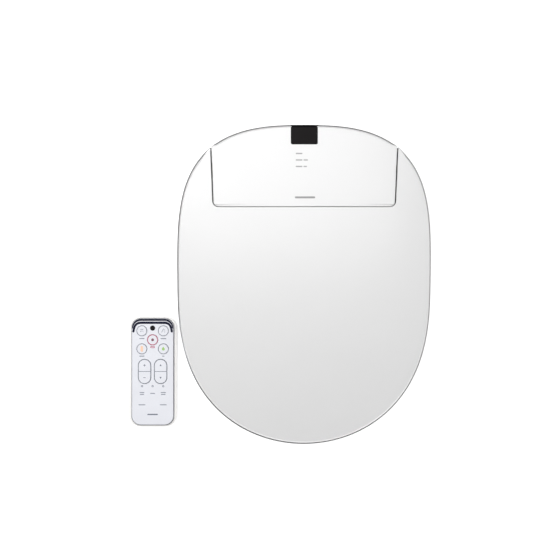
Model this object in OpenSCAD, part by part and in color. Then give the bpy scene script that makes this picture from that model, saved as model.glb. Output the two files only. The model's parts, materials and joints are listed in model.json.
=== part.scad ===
// Electric bidet seat: a lid and a heated seat ring on one coaxial hinge, a rear
// body with two wash nozzles, a warm-water tank and a dryer, a mounting plate that
// stays on the bowl, and a wireless remote that lies beside the seat.
// +Y is the rear, -Y the front, +Z up. The origin is midway between the two bowl
// bolt holes, on the bowl's rim.

/* [Outline] */
// Overall width of lid and seat
seat_w = 400; // [396:1:404]
// Widest station, behind the bolt holes when positive
wide_y = -201; // [-203:1:-199]
// Length from the widest station to the front edge
front_len = 253; // [250:1:256]
// Length from the widest station to the rear edge
rear_len = 251; // [249:1:253]

/* [Lid] */
// Thickness of the lid's plate and skirt
lid_t = 3.5; // [3:0.5:4]
// Height of the lid's top at the front edge
front_h = 62; // [60:1:66]
// Gap along the seam between lid and cover
seam_gap = 1.1; // [0.9:0.1:1.3]

/* [Cover] */
// Distance of the cover's front seam ahead of the bolt holes
seam_y = 76.5; // [76:0.1:77]
// Half width of the cover at its front seam
cover_hw = 141.5; // [141:0.1:142]
// Widening of the cover per millimetre towards the rear
cover_taper = 0.048; // [0.04:0.002:0.05]
// Thickness of the moulded body walls
wall = 2.8; // [2.4:0.2:3]

/* [Hinge] */
// Distance of the hinge axis ahead of the bolt holes
axis_y = 93.5; // [93:0.1:94]
// Height of the hinge axis
axis_z = 116.1; // [115.8:0.1:116.4]
// Radius of the hinge pins
pin_r = 4; // [3.8:0.1:4.2]
// Radial clearance of a running bore
run_gap = 0.06; // [0.04:0.01:0.08]

/* [Seat ring] */
// Inset of the ring's outline from the lid's
ring_inset = 3; // [3:0.5:4]
// Half width of the opening
open_hw = 105; // [102:1:108]
// Thickness of the ring's shells
shell_t = 3; // [2.5:0.5:3.5]

/* [Mounting] */
// Distance between the two bowl bolts
bolt_pitch = 140; // [138:1:142]
// Radius of the bolt holes
bolt_hole_r = 4.5; // [4:0.25:4.75]

/* [Nozzles] */
// Slope of the nozzles below the horizontal
nozzle_slope = 22; // [21:1:23]
// Radius of a nozzle tube
nozzle_r = 6.5; // [6:0.25:6.5]
// Distance of each nozzle from the middle
nozzle_x = 14; // [13.5:0.5:15]

/* [Remote] */
// Width of the remote's case
remote_w = 78; // [77:1:80]
// Length of the remote's case
remote_l = 178; // [176:1:180]
// Centre of the remote beside the seat
remote_x = -244; // [-248:1:-244]
// Centre of the remote along the seat
remote_y = -340; // [-345:1:-335]

/* [Hidden] */
$fn = 48;

steps = 96;
a_side = seat_w / 2;
front_y = wide_y - front_len;
hinge = [-axis_y, axis_z];
trough_r = 23.6;
open_c = [0, -262];
ring_rear = -109;
split_z = 45;
floor_z = 9.6;
cowl_hw = 100;
nozzle_len = 135;
nozzle_tip = [-147, 22];
fan_c = [-78, -26];
knuckle_r = 7.8;
foot_spots = [[110, -85], [110, 12]];
screw_spots = [[116, -72], [106, 21]];
lamp_ys = [5.4, -4.6, -14.6];
lamp_x = -8.1;
lamp_w = 10.6;
button_axis = [0, -40, 20];
corner_r = 7;

// ---- shared geometry ----

function spow(v, p) = sign(v) * pow(abs(v), p);

// A closed outline from two half superellipses that meet at the widest station:
// half width a, lengths f and r to the front and rear, exponents [n, m] of each.
function egg(a, f, r, c, ef = [2, 2.6], er = [2.75, 3.7]) = [
    for (i = [0:steps - 1])
        let (t = 360 * i / steps, s = sin(t), e = s > 0 ? er : ef, len = s > 0 ? r : f)
            [c[0] + a * spow(cos(t), 2 / e[0]), c[1] + len * spow(s, 2 / e[1])]
];
function outline(d) = egg(a_side - d, front_len - d, rear_len - d, [0, wide_y]);

// Height of the top surface: rising to the rear, slightly crowned across.
function top_z(x, y) =
    let (t = (y - front_y) / (front_len + rear_len), u = x / a_side)
        front_h + 106 * t - 16 * t * t - 4 * pow(u, 4);

// A solid through closed rings of points, listed from the bottom up.
module skin(rings) {
    n = len(rings[0]);
    m = len(rings);
    function middle(r) = [for (k = [0:2]) (min([for (p = r) p[k]]) + max([for (p = r) p[k]])) / 2];
    points = concat([for (r = rings) for (p = r) p], [middle(rings[0]), middle(rings[m - 1])]);
    sides = [
        for (k = [0:m - 2]) for (i = [0:n - 1])
            let (j = (i + 1) % n, a = k * n + i, b = k * n + j, c = b + n, d = a + n)
                each [[a, d, c], [a, c, b]]
    ];
    bottom = [for (i = [0:n - 1]) [m * n, i, (i + 1) % n]];
    top = [for (i = [0:n - 1]) [m * n + 1, (m - 1) * n + (i + 1) % n, (m - 1) * n + i]];
    polyhedron(concat(points), concat(sides, bottom, top), convexity = 8);
}

// A closed ring-shaped solid: sections[i] is the closed cross-section at station i.
module ring_skin(sections) {
    n = len(sections);
    m = len(sections[0]);
    faces = [
        for (i = [0:n - 1]) for (k = [0:m - 1])
            let (a = i * m + k, b = i * m + (k + 1) % m, c = ((i + 1) % n) * m + (k + 1) % m,
                d = ((i + 1) % n) * m + k)
                each [[a, b, c], [a, c, d]]
    ];
    polyhedron([for (s = sections) for (p = s) p], faces, convexity = 8);
}

// Children as one mesh: used on smooth shells, which hold no bore or pin.
module one_mesh() resize([0, 0, 0]) children();

// The solid below the top surface, moved inwards by d, with a rounded upper edge.
module dome(d, z0 = 0) {
    edge = [[0, 5.2], [0.35, 3.3], [1.5, 1.5], [3.3, 0.35], [5.2, 0]];
    inner = [30, 70, 120, 165, 190];
    skin(concat(
        [[for (p = outline(d)) [p[0], p[1], z0]]],
        [for (e = edge) [for (p = outline(d + e[0])) [p[0], p[1], top_z(p[0], p[1]) - e[1] - d]]],
        [for (q = inner) [for (p = outline(d + q - 5)) [p[0], p[1], top_z(p[0], p[1]) - d]]]
    ));
}

function arc(c, r, a0, a1, n = 8) = [for (i = [0:n]) let (t = a0 + (a1 - a0) * i / n)
    [c[0] + r * cos(t), c[1] + r * sin(t)]];

// The cover's plan, grown by g, with rounded front corners at front station y0.
function cover_plan(g, y0 = -seam_y, rear = 80) =
    let (r = corner_r, c = [cover_hw - r, y0 + r], x1 = cover_hw + g + cover_taper * (rear + seam_y - r),
        right = concat([[x1, rear], [cover_hw + g, -seam_y + r]], arc(c, r + g, 0, -90)),
        n = len(right))
        concat(right, [for (i = [n - 1:-1:0]) [-right[i][0], right[i][1]]]);

// The body's plan below the lid: the cover's plan carried forward past the hinge.
module body_plan(g) intersection() {
    polygon(outline(-g));
    polygon(cover_plan(g, y0 = -106));
}

function rrect(w, l, r) = [
    for (q = [0:3]) let (sx = q == 0 || q == 3 ? 1 : -1, sy = q < 2 ? 1 : -1)
        each arc([sx * (w / 2 - r), sy * (l / 2 - r)], r, 90 * q, 90 * q + 90, 6)
];
module rounded(w, l, h, r) linear_extrude(h) polygon(rrect(w, l, r));
module block(x, y, z) translate([x[0], y[0], z[0]]) cube([x[1] - x[0], y[1] - y[0], z[1] - z[0]]);
module along_x(x0, x1, r) translate([x0, 0, 0]) rotate([0, 90, 0]) cylinder(r = r, h = x1 - x0);
module at_hinge() translate([0, hinge[0], hinge[1]]) children();
module side_profile(x0, x1, points)
    translate([x0, 0, 0]) rotate([90, 0, 90]) linear_extrude(x1 - x0) polygon(points);
// Children on the right side (s = 1) or mirrored to the left (s = -1).
module on_side(s) mirror([s < 0 ? 1 : 0, 0, 0]) children();
module both() for (s = [-1, 1]) on_side(s) children();

// ---- mounting plate ----

module mount_plate() color("lightgray") difference() {
    union() {
        block([-88, 88], [-45, 38], [0, 3]);
        block([-94, 94], [-45, 38], [3, 6]);
    }
    both() translate([bolt_pitch / 2, 0, -1]) cylinder(r = 11, h = 8);
}

module bolt_inserts() color("dimgray") both() translate([bolt_pitch / 2, 0, 0]) difference() {
    cylinder(r = 10.9, h = 5.8);
    translate([0, 0, -1]) cylinder(r = bolt_hole_r, h = 8);
}

// ---- body shells ----

// The side line that the water inlet and the cord gland lie on.
module inlet_axis() translate([0, -12, 18]) children();

module base_tray() color("whitesmoke") difference() {
    translate([0, 0, 1]) linear_extrude(split_z - 1.3) body_plan(0);
    difference() {
        translate([0, 0, floor_z]) linear_extrude(split_z) body_plan(-wall);
        both() block([124, 150], [-110, -84], [0, 14]);
    }
    block([-94.5, 94.5], [-46, 70], [2.8, 6.4]);
    block([-88.5, 88.5], [-46, 70], [0, 3]);
    both() for (p = foot_spots) translate([p[0], p[1], 0]) cylinder(r = 8.1, h = 4.2);
    block([-97, 97], [-120, -100], [floor_z, 60]);
    inlet_axis() along_x(-160, -130, 10);
    inlet_axis() along_x(130, 160, 6.6);
    block([-150, -130], [-72.4, -33.6], [11.6, 40.4]);
    translate(button_axis) along_x(130, 160, 6.2);
    translate([86, -70, 0]) cylinder(r = 6.3, h = 20);
}

module front_cowl() color("whitesmoke") difference() {
    block([-cowl_hw, cowl_hw], [-150, -106.2], [6, 52]);
    block([-cowl_hw + wall, cowl_hw - wall], [-150 + wall, -100], [6 + wall, 52 - wall]);
    for (x = [-nozzle_x, nozzle_x]) nozzle_frame(x) translate([0, 0, -30]) cylinder(r = nozzle_r + 2.4, h = 60);
    block([-78, -52], [-151, -140], [18, 36]);
}

module trough(g) {
    at_hinge() along_x(-160, 160, trough_r + g);
    block([-160, 160], [-130, -seam_y + g], [hinge[1], 175]);
    block([-160, 160], [-130, hinge[0]], [hinge[1] - 20 - g, 175]);
}

// Rounds the two upper front corners of the cover, above the hinge trough.
module corner_cut() both() translate([cover_hw - corner_r, corner_r - seam_y, hinge[1] - 4])
    linear_extrude(60) difference() {
        translate([0, -corner_r - 1]) square([corner_r + 1, corner_r + 1]);
        circle(r = corner_r);
    }

// Room for the lid's two rear corners, which swing past the ends of the trough.
module corner_sweep() both() intersection() {
    at_hinge() along_x(cover_hw - 2.1, 160, trough_r + 2.2);
    block([130, 160], [-130, -60], [80, 129.7]);
}

module body_solid(d, z0) difference() {
    intersection() {
        dome(d);
        translate([0, 0, z0]) linear_extrude(150) polygon(cover_plan(-d, y0 = -106));
    }
    trough(d);
}

module window_plan(g) linear_extrude(200)
    polygon(concat([[21.2 + g, 90]], arc([19.2, 21.2], 2 + g, 0, -90, 4), arc([-19.2, 21.2], 2 + g, 270, 180, 4),
        [[-21.2 - g, 90]]));

module top_cover() color("white") one_mesh() difference() {
    body_solid(0, split_z + 0.3);
    body_solid(wall, split_z - 5);
    corner_cut();
    corner_sweep();
    intersection() { window_plan(0.2); block([-30, 30], [10, 60], [118, 170]); }
    for (y = lamp_ys) translate([lamp_x, y, 100]) rounded(lamp_w + 0.4, 3, 60, 1.4);
    both() block([127.4, 138.5], [-104.2, -87.8], [40, 126]);
    block([-cowl_hw - 0.4, cowl_hw + 0.4], [-120, -100], [40, 52.4]);
}

module sensor_window() color("black") one_mesh() difference() {
    intersection() { dome(0, 119); window_plan(0); }
    dome(2.4);
}

module indicator_lenses() color("silver") for (y = lamp_ys)
    translate([lamp_x, y, top_z(lamp_x, y) - 2.6]) rounded(lamp_w, 2.6, 2.7, 1.2);

module rubber_feet() color("dimgray") both() for (p = foot_spots)
    translate([p[0], p[1], 0]) cylinder(r = 8, h = 4);

// ---- hinge ----

module hinge_bracket(s) color("silver") on_side(s) difference() {
    side_profile(128, 138.2, concat([[-99.5, 14], [-90, 14], [-90, 109]], arc(hinge, knuckle_r, -40, 190, 16)));
    at_hinge() along_x(120, 150, pin_r + 0.02);
}
module hinge_bracket_left() hinge_bracket(-1);
module hinge_bracket_right() hinge_bracket(1);

module hinge_pin(s) color("silver") on_side(s) at_hinge() {
    along_x(127.8, 164, pin_r);
    along_x(164, 167, 6.5);
}
module hinge_pin_left() hinge_pin(-1);
module hinge_pin_right() hinge_pin(1);

module damper(s) color("dimgray") on_side(s) at_hinge() {
    along_x(92, 127.6, knuckle_r);
    along_x(86, 92, 5);
}
module damper_left() damper(-1);
module damper_right() damper(1);

// ---- water path ----

module water_tank() color("gainsboro") translate([87, -24, floor_z]) difference() {
    union() {
        rounded(78, 74, 64, 10);
        translate([0, 0, 64]) rounded(84, 80, 4, 12);
    }
    translate([0, 0, 3]) rounded(72, 68, 58, 8);
}
module tank_heater() color("silver") translate([87, -24, 18]) {
    for (x = [-20, 20]) translate([x, 0, 0]) cylinder(r = 4, h = 44);
    translate([-20, 0, 0]) rotate([0, 90, 0]) cylinder(r = 4, h = 40);
}
module inlet_valve() color("ivory") {
    block([-138, -114], [-27, 3], [floor_z, 30]);
    translate([-126, -12, 30]) cylinder(r = 9, h = 14);
}
module inlet_fitting() color("goldenrod") inlet_axis() difference() {
    union() {
        along_x(-159, -147, 10.48);
        along_x(-147, -145, 13);
        along_x(-145, -138, 9.6);
    }
    along_x(-160, -137, 7.5);
}
module pump() color("dimgray") {
    translate([0, 27, 21]) along_x(44, 78, 11);
    block([36, 44], [17, 37], [floor_z, 32]);
}
// A hose from the valve, round two corners, to the pump.
module hoses() color("white") {
    r = 2.8;
    translate([0, 10.2, 20]) along_x(-126, 40, r);
    for (x = [-126, 40]) translate([x, 10.2, 20]) sphere(r = r);
    translate([-126, 3.05, 20]) rotate([-90, 0, 0]) cylinder(r = r, h = 7.15);
    translate([40, 10.2, 20]) rotate([-90, 0, 0]) cylinder(r = r, h = 6.75);
}
module drain_plug() color("gray") translate([86, -70, 0.6]) {
    cylinder(r = 6, h = floor_z - 0.55);
    translate([0, 0, floor_z - 0.55]) cylinder(r = 8, h = 4);
}

// ---- dryer ----

module blower_housing() color("gray") translate([fan_c[0], fan_c[1], 13]) difference() {
    union() {
        cylinder(r = 32, h = 30);
        block([-2, 28], [-34, -10], [1, 29]);
        for (t = [90, 210, 330]) rotate(t) translate([26, 0, floor_z - 13]) cylinder(r = 4, h = 4);
    }
    translate([0, 0, 2]) cylinder(r = 30, h = 26);
    translate([0, 0, 20]) cylinder(r = 15, h = 20);
    block([0, 26], [-36, -10], [3, 27]);
}
module blower_rotor() color("dimgray") translate([fan_c[0], fan_c[1], 17]) difference() {
    union() {
        cylinder(r = 27, h = 1.6);
        cylinder(r = 6, h = 18);
        for (k = [0:17]) rotate(20 * k) translate([20, -0.7, 1.5]) cube([6.5, 1.4, 19]);
    }
    translate([0, 0, -1]) cylinder(r = 2 + run_gap, h = 22);
}
module blower_motor() color("silver") translate([fan_c[0], fan_c[1], 16]) {
    cylinder(r = 2, h = 33);
    translate([0, 0, 24]) cylinder(r = 13, h = 20);
}
module dryer_duct() color("gray") translate([-65, 0, 0]) difference() {
    block([-15, 15], [-146.8, -60.4], [14, 42]);
    block([-13, 13], [-148, -50], [16, 40]);
}

// ---- nozzles ----

// Places children so that +Z runs back up the nozzle from its tip.
module nozzle_frame(x) translate([x, nozzle_tip[0], nozzle_tip[1]]) rotate([nozzle_slope - 90, 0, 0]) children();

module nozzle(x) color("ivory") nozzle_frame(x) {
    translate([0, 0, 14]) cylinder(r = nozzle_r, h = nozzle_len - 14);
    translate([0, 0, 2]) cylinder(r = 4, h = 12);
}
module nozzle_cap(x, holes) color("white") nozzle_frame(x) difference() {
    union() {
        translate([0, 0, -1]) cylinder(r = nozzle_r + 0.6, h = 14.8);
        translate([0, 0, -1]) sphere(r = nozzle_r - 1.5);
    }
    translate([0, 0, 2]) cylinder(r = 4.02, h = 20);
    for (k = [0:holes - 1]) translate([(k - (holes - 1) / 2) * 2.2, 0, 0.2]) rotate([-90, 0, 0]) mirror([0, 0, 1])
        translate([0, 0, 4.5]) cylinder(r = 0.6, h = 4);
}
module nozzle_rear() nozzle(-nozzle_x);
module nozzle_front() nozzle(nozzle_x);
module nozzle_rear_tip() nozzle_cap(-nozzle_x, 3);
module nozzle_front_tip() nozzle_cap(nozzle_x, 5);

module nozzle_cradle() color("gray") difference() {
    union() {
        for (z = [16, 68]) nozzle_frame(0) translate([-30, -8.5, z]) cube([60, 17, 10]);
        side_profile(-5, 5, [[-128, floor_z], [-76, floor_z], [-76, 52], [-128, 30]]);
    }
    for (x = [-nozzle_x, nozzle_x]) nozzle_frame(x) translate([0, 0, -20]) cylinder(r = nozzle_r + 0.1, h = 200);
}
module nozzle_motors() color("dimgray") both() nozzle_frame(0) translate([0, 0, 86]) {
    along_x(31, 47, 10);
    along_x(26, 32, 2.5);
}

// ---- electrics ----

module power_module() color("darkslategray") translate([-62, 25, floor_z]) {
    rounded(70, 20, 30, 3);
    translate([0, 0, 30]) rounded(40, 16, 12, 2);
}
module control_board() color("seagreen") {
    block([-60, 72], [39, 40.6], [62, 122]);
    for (x = [-20, 66]) block([x, x + 6], [39, 40.6], [floor_z, 63]);
    for (k = [0:3]) block([-54 + 30 * k, -36 + 30 * k], [27, 39], [70, 84]);
    for (k = [0:2]) translate([-38 + 36 * k, 39, 102]) rotate([90, 0, 0]) cylinder(r = 6, h = 14);
}
module cord_gland() color("dimgray") inlet_axis() difference() {
    union() {
        along_x(134, 151, 6.4);
        along_x(138, 141, 8.2);
    }
    along_x(120, 160, 3.4);
}
module base_screws() color("silver") both() for (p = screw_spots) translate([p[0], p[1], floor_z]) {
    cylinder(r = 4, h = 3);
    cylinder(r = 1.8, h = 9);
}

// ---- parts that come off or press ----

module deodor_filter() color("darkgray") difference() {
    block([-140.6, -124], [-72, -34], [12, 40]);
    block([-139, -123], [-68, -38], [15, 37]);
    block([-142, -138], [-62, -44], [34, 37]);
}
module release_button() color("gray") translate(button_axis) {
    along_x(132, 144.6, 5.8);
    along_x(136.6, 139.2, 8);
}

// ---- seat ring ----

function ring_outer() = egg(a_side - ring_inset, front_len - ring_inset, ring_rear - wide_y, [0, wide_y],
    er = [6, 5]);
function ring_inner() = egg(open_hw, 138, 102, open_c, ef = [2, 2.1], er = [2.2, 2.4]);
function ring_edge_z(y) = 35 + 48 * (y - front_y) / (ring_rear - front_y);
function step01(v) = let (c = min(1, max(0, v))) c * c * (3 - 2 * c);
// Underside: low all round, raised over the body's nose.
function ring_floor(x, y) = 8 + 49.5 * step01((y + 190) / 36) * step01((148 - abs(x)) / 44);

// A point of the ring at station i, d millimetres in from the wall on one side.
function ring_at(i, d, from_inner = false) =
    let (o = ring_outer_pts[i], n = ring_inner_pts[i], v = n - o, w = norm(v))
        from_inner ? n - v * d / w : o + v * d / w;
ring_outer_pts = ring_outer();
ring_inner_pts = ring_inner();

// Distances across the underside at station i, from the outer wall to the inner.
function low_steps(i) = let (w = norm(ring_inner_pts[i] - ring_outer_pts[i]))
    concat([0], [for (k = [0:7]) shell_t + (w - 2 * shell_t) * k / 7], [w]);

// Top surface height over the ring's section, less a thickness t.
function top_row(i, t) =
    let (tops = [[t, 4.5, 0], [t + 1.4, 1.4, 0], [t + 4.5, 0, 0], [18, -2.2, 0]],
        back = [[18, -1.4, 1], [9, 0.2, 1], [t + 4, 3, 1], [t + 1.2, 6, 1], [t, 10, 1]])
        [for (e = concat(tops, back)) let (p = ring_at(i, e[0], e[2] == 1))
            [p[0], p[1], ring_edge_z(p[1]) - e[1] + 2 - t]];

module seat_top() color("white") one_mesh() ring_skin([for (i = [0:steps - 1]) let (
    o = ring_at(i, 0), oi = ring_at(i, shell_t), n = ring_at(i, 0, true), ni = ring_at(i, shell_t, true))
    concat([[o[0], o[1], ring_floor(o[0], o[1]) + 10]], top_row(i, 0),
        [[n[0], n[1], ring_floor(n[0], n[1]) + 10], [ni[0], ni[1], ring_floor(n[0], n[1]) + 10]],
        [for (k = [8:-1:0]) top_row(i, shell_t)[k]],
        [[oi[0], oi[1], ring_floor(o[0], o[1]) + 10]])]);

module seat_base() color("white") one_mesh() ring_skin([for (i = [0:steps - 1]) let (
    o = ring_at(i, 0), oi = ring_at(i, shell_t), n = ring_at(i, 0, true), ni = ring_at(i, shell_t, true),
    floor_pts = [for (d = low_steps(i)) let (p = ring_at(i, d)) [p[0], p[1], ring_floor(p[0], p[1])]])
    concat([for (k = [9:-1:0]) floor_pts[k]],
        [[o[0], o[1], ring_floor(o[0], o[1]) + 9.7], [oi[0], oi[1], ring_floor(o[0], o[1]) + 9.7]],
        [for (k = [1:8]) floor_pts[k] + [0, 0, shell_t]],
        [[ni[0], ni[1], ring_floor(n[0], n[1]) + 9.7], [n[0], n[1], ring_floor(n[0], n[1]) + 9.7]])]);

module seat_heater() color("orange") one_mesh() ring_skin([for (i = [0:steps - 1])
    let (t = shell_t + 0.5, o = top_row(i, t)[3], n = top_row(i, t)[4])
        [o - [0, 0, 0.8], o, n, n - [0, 0, 0.8]]]);

bumper_spots = [[95, -405], [150, -200]];
module seat_bumpers() color("gainsboro") both() for (p = bumper_spots) translate([p[0], p[1], 0])
    cylinder(r = 9, h = 8);

module seat_arm(s) color("white") on_side(s) difference() {
    side_profile(150.5, 161.5, concat(arc(hinge, knuckle_r - 0.2, -70, 150, 16),
        [[-113, 97], [-121, 84], [-124, 68], [-116, 68], [-110, 84]]));
    at_hinge() along_x(149, 163, pin_r + run_gap);
}
module seat_arm_left() seat_arm(-1);
module seat_arm_right() seat_arm(1);

// ---- lid ----

// Everything under the lid's lower edge, from the side.
module under_lid() side_profile(-210, 210, [[-470, -5], [-470, 38.5], [-454, 39.5], [-300, 62], [-118, 88.5],
    [-106, 92], [-92, 104], [-80, 114], [-72, 119.3], [16, 134.6], [70, 144], [70, -5]]);

module lid_shell() color("white") one_mesh() difference() {
    dome(0);
    difference() {
        dome(lid_t);
        linear_extrude(200) polygon(cover_plan(seam_gap + 2.4));
    }
    linear_extrude(200) polygon(cover_plan(seam_gap));
    under_lid();
    both() block([124.6, 143.4], [-84, -76], [90, 128.2]);
}

module lid_hub(s) color("white") on_side(s) difference() {
    side_profile(143.6, 148.6, concat(arc(hinge, knuckle_r, 150, 390, 20), [[-80.5, 128.6], [-103.5, 124.8]]));
    at_hinge() along_x(140, 150, pin_r + run_gap);
}
module lid_hub_left() lid_hub(-1);
module lid_hub_right() lid_hub(1);

lid_bumper_spots = [[70, -424], [150, -300]];
module lid_bumpers() color("gainsboro") both() for (p = lid_bumper_spots)
    translate([p[0], p[1], ring_edge_z(p[1]) + 5])
        cylinder(r = 5, h = top_z(p[0], p[1] - 5) - lid_t - ring_edge_z(p[1]) - 5.1);

// ---- remote ----

key_spots = [[-17.4, 66.4], [17.4, 66.4], [-17.4, 37.2], [17.4, 37.2], [0, 51.8]];
key_rs = [8, 8, 8, 8, 8.7];
rocker_spots = [-13, 13];
rocker_pin_r = 0.85;
rocker_l = 39.6;
rocker_w = 20.6;
module at_remote() translate([remote_x, remote_y, 0]) children();
module at_rocker_axis() at_remote() translate([0, 0.6, 18.5]) children();

module remote_case() color("white") at_remote() difference() {
    hull() {
        rounded(remote_w - 14, remote_l - 16, 0.2, 14);
        translate([0, 0, 5]) rounded(remote_w - 1.6, remote_l - 1.6, 0.2, 17);
        translate([0, 0, 9]) rounded(remote_w, remote_l, 5, 18);
    }
    translate([0, 0, 11]) rounded(remote_w - 12, remote_l - 13, 10, 13);
    block([-17.4, 17.4], [-74, -22], [2.9, 14]);
    block([-22.3, 22.3], [-100, -18], [-1, 3]);
}

// The face plate stands inside the case's rim and rises above it.
face_w = remote_w - 8.6;
face_l = remote_l - 4.2;
module remote_plate() at_remote() difference() {
    union() {
        hull() {
            translate([0, 0, 14.6]) rounded(face_w, face_l, 3, 15);
            translate([0, 0, 20]) rounded(face_w - 3, face_l - 3, 1.6, 14);
        }
        translate([0, 0, 12.2]) rounded(remote_w - 12.6, remote_l - 13.6, 3, 12.7);
    }
    translate([0, 0, 10]) rounded(remote_w - 16, remote_l - 17, 9.4, 11);
    for (k = [0:4]) translate([key_spots[k][0], key_spots[k][1], 10]) cylinder(r = key_rs[k] + 0.4, h = 20);
    for (x = rocker_spots) translate([x, 0.6, 10]) rounded(rocker_w + 1, rocker_l + 1, 20, 10.6);
}
// The plate, with the pin that both rockers tilt on.
module remote_face() color("aliceblue") {
    remote_plate();
    at_rocker_axis() along_x(-32, 32, rocker_pin_r);
}
module remote_band() color("midnightblue") at_remote() intersection() {
    difference() {
        translate([0, 0, 21.6]) rounded(face_w - 4, face_l - 4, 0.5, 13.5);
        translate([0, -7, 20]) rounded(face_w - 11, face_l - 4, 4, 11);
    }
    block([-40, 40], [66, 100], [20, 25]);
}
module remote_board() color("seagreen") at_remote() {
    translate([0, 27, 12]) rounded(60, 104, 1.6, 8);
    for (p = key_spots) translate([p[0], p[1], 13.6]) cylinder(r = 2.5, h = 1.2);
    for (x = rocker_spots, y = [-13, 14]) translate([x, y, 13.6]) cylinder(r = 2.5, h = 1.2);
}
module battery_cover() color("white") at_remote() difference() {
    block([-22, 22], [-76, -18.6], [0.3, 2.7]);
    for (k = [0:3]) block([-8, 8], [-34 - 3 * k, -33 - 3 * k], [0, 0.8]);
}
module batteries() color("gold") at_remote() for (x = [-7, 7]) translate([x, -70, 8.9]) rotate([-90, 0, 0]) {
    cylinder(r = 5.2, h = 43.4);
    cylinder(r = 1.9, h = 44.5);
}
module remote_key(k) color("white") at_remote() translate([key_spots[k][0], key_spots[k][1], 15.8]) {
    cylinder(r = key_rs[k], h = 7);
    cylinder(r = key_rs[k] + 0.9, h = 1.4);
}
module key_1() remote_key(0);
module key_2() remote_key(1);
module key_3() remote_key(2);
module key_4() remote_key(3);
module key_stop() remote_key(4);
module rocker(x) color("white") difference() {
    at_remote() translate([x, 0.6, 16.4]) rounded(rocker_w, rocker_l, 6.6, 10.1);
    at_rocker_axis() along_x(x - 12, x + 12, rocker_pin_r + 0.1);
}
module rocker_left() rocker(rocker_spots[0]);
module rocker_right() rocker(rocker_spots[1]);

mount_plate();
bolt_inserts();
base_tray();
front_cowl();
top_cover();
sensor_window();
indicator_lenses();
rubber_feet();
hinge_bracket_left();
hinge_bracket_right();
hinge_pin_left();
hinge_pin_right();
damper_left();
damper_right();
water_tank();
tank_heater();
inlet_valve();
inlet_fitting();
pump();
hoses();
drain_plug();
blower_housing();
dryer_duct();
blower_motor();
nozzle_cradle();
nozzle_motors();
power_module();
control_board();
cord_gland();
base_screws();
blower_rotor();
deodor_filter();
release_button();
nozzle_rear();
nozzle_rear_tip();
nozzle_front();
nozzle_front_tip();
seat_top();
seat_base();
seat_heater();
seat_bumpers();
seat_arm_left();
seat_arm_right();
lid_shell();
lid_hub_left();
lid_hub_right();
lid_bumpers();
remote_case();
remote_face();
remote_band();
remote_board();
battery_cover();
batteries();
key_1();
key_2();
key_3();
key_4();
key_stop();
rocker_left();
rocker_right();
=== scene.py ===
import json
import math

import bmesh
import bpy
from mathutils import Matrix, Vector
from mathutils.geometry import delaunay_2d_cdt


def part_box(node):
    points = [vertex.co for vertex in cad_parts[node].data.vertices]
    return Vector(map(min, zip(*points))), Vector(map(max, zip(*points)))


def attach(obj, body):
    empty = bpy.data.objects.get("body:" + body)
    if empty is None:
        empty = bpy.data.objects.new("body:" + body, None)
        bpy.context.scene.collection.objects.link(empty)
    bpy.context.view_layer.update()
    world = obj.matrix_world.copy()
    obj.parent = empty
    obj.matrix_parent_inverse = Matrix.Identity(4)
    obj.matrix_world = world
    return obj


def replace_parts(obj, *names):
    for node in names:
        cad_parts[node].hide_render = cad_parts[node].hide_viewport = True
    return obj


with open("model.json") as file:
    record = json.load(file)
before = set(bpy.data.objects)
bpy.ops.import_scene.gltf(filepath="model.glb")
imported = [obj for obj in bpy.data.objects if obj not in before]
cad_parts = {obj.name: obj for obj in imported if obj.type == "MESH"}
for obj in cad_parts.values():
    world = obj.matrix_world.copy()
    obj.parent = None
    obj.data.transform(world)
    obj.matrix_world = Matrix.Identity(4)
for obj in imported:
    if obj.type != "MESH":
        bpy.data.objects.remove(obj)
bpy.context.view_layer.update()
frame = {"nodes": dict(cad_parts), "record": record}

# ---------------------------------------------------------------- sizes, metres

MM = 0.001
LID_LOW, LID_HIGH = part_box("lid_shell")
COVER_LOW, COVER_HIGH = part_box("top_cover")
RING_LOW, RING_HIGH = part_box("seat_top")

# The outline from above: half width, ends, the station where it is widest, and its superellipse exponents.
HALF_W = LID_HIGH.x
FRONT_Y = LID_LOW.y
REAR_Y = COVER_HIGH.y
WIDE_Y = -201 * MM
TOTAL_LEN = REAR_Y - FRONT_Y
FRONT_EXP = (2.0, 2.6)
REAR_EXP = (2.75, 3.7)

# The top surface: its height at the front, its rise to the rear, and how it bends along and across.
FRONT_H = 62 * MM
RISE = 106 * MM
SAG = 16 * MM
CROWN = 4 * MM

LID_T = 3.5 * MM
RIM_R = 5.2 * MM
SEAM_R = 0.7 * MM
# The rounded edge's section, in edge radii: (distance in, drop below the top). It starts steep, turns fast,
# and ends in a faint bead that catches the light along the front and right edges.
RIM_DROP = 1.8
RIM_PROFILE = [(0.1, 1.35), (0.2, 1.0), (0.29, 0.68), (0.36, 0.4), (0.41, 0.15), (0.46, -0.05), (0.51, -0.14),
               (0.58, -0.12), (0.67, -0.06), (0.77, -0.015), (0.87, 0.0), (1.0, 0.0)]
# The seam between lid and cover: its gaps, its front line, and the half width and widening of the cover.
FRONT_GAP = 0.6 * MM
SIDE_GAP = 1.9 * MM
SEAM_Y = -76.5 * MM
COVER_HW = 141.5 * MM
COVER_TAPER = 0.034
COVER_CORNER = 7 * MM
COVER_T = 2.8 * MM
SPLIT_Z = COVER_LOW.z

# The hinge axis, the trough round it, and the room that the lid needs to swing.
HINGE_Y = -93.5 * MM
HINGE_Z = 116.1 * MM
TROUGH_R = 23.6 * MM
TROUGH_TOP = 14.5 * MM
TROUGH_END = -122
TROUGH_FRONT_Y = -106 * MM
TROUGH_DROP = 20 * MM
CHEEK_RELIEF = 2.3 * MM
BRACKET_NOTCH = (124.6 * MM, 143.6 * MM)
NOTCH_Y = -84.5 * MM
NOTCH_SKIN = 4 * MM

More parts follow.
